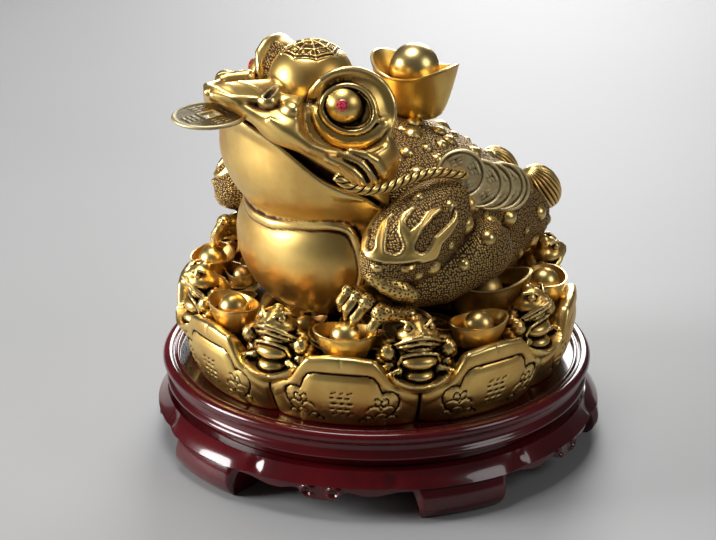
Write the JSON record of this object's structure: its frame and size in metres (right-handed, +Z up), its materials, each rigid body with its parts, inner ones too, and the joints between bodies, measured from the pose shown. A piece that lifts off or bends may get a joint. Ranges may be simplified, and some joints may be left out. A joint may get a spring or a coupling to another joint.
{
  "type": "money toad figure on stand",
  "caption": "Cast brass toad figure with a loose coin in its mouth, on a round lotus-petal base with small toads and boat ingots, set in a turned wooden tray on a footed ring.",
  "frame": {"origin": "centre of the stand's underside, on the surface it stands on", "axes": "+Z up, the toad faces -Y, +X to the toad's left as it looks out (right in a view along +Y)"},
  "size_m": [0.226, 0.226, 0.208],
  "materials": {
    "brass": "satin cast brass with dark patina in the hollows",
    "aged_brass": "antique, worn bright on the rims",
    "red_stone": "faceted and polished",
    "red_lacquer": "high-gloss dark red lacquer"
  },
  "bodies": {
    "root": {"stand_foot_frame": "red_lacquer", "stand_tray": "red_lacquer", "toad_casting": "brass", "coin_in_mouth": "aged_brass", "eye_gem_left": "red_stone", "eye_gem_right": "red_stone"}
  },
  "joints": []
}
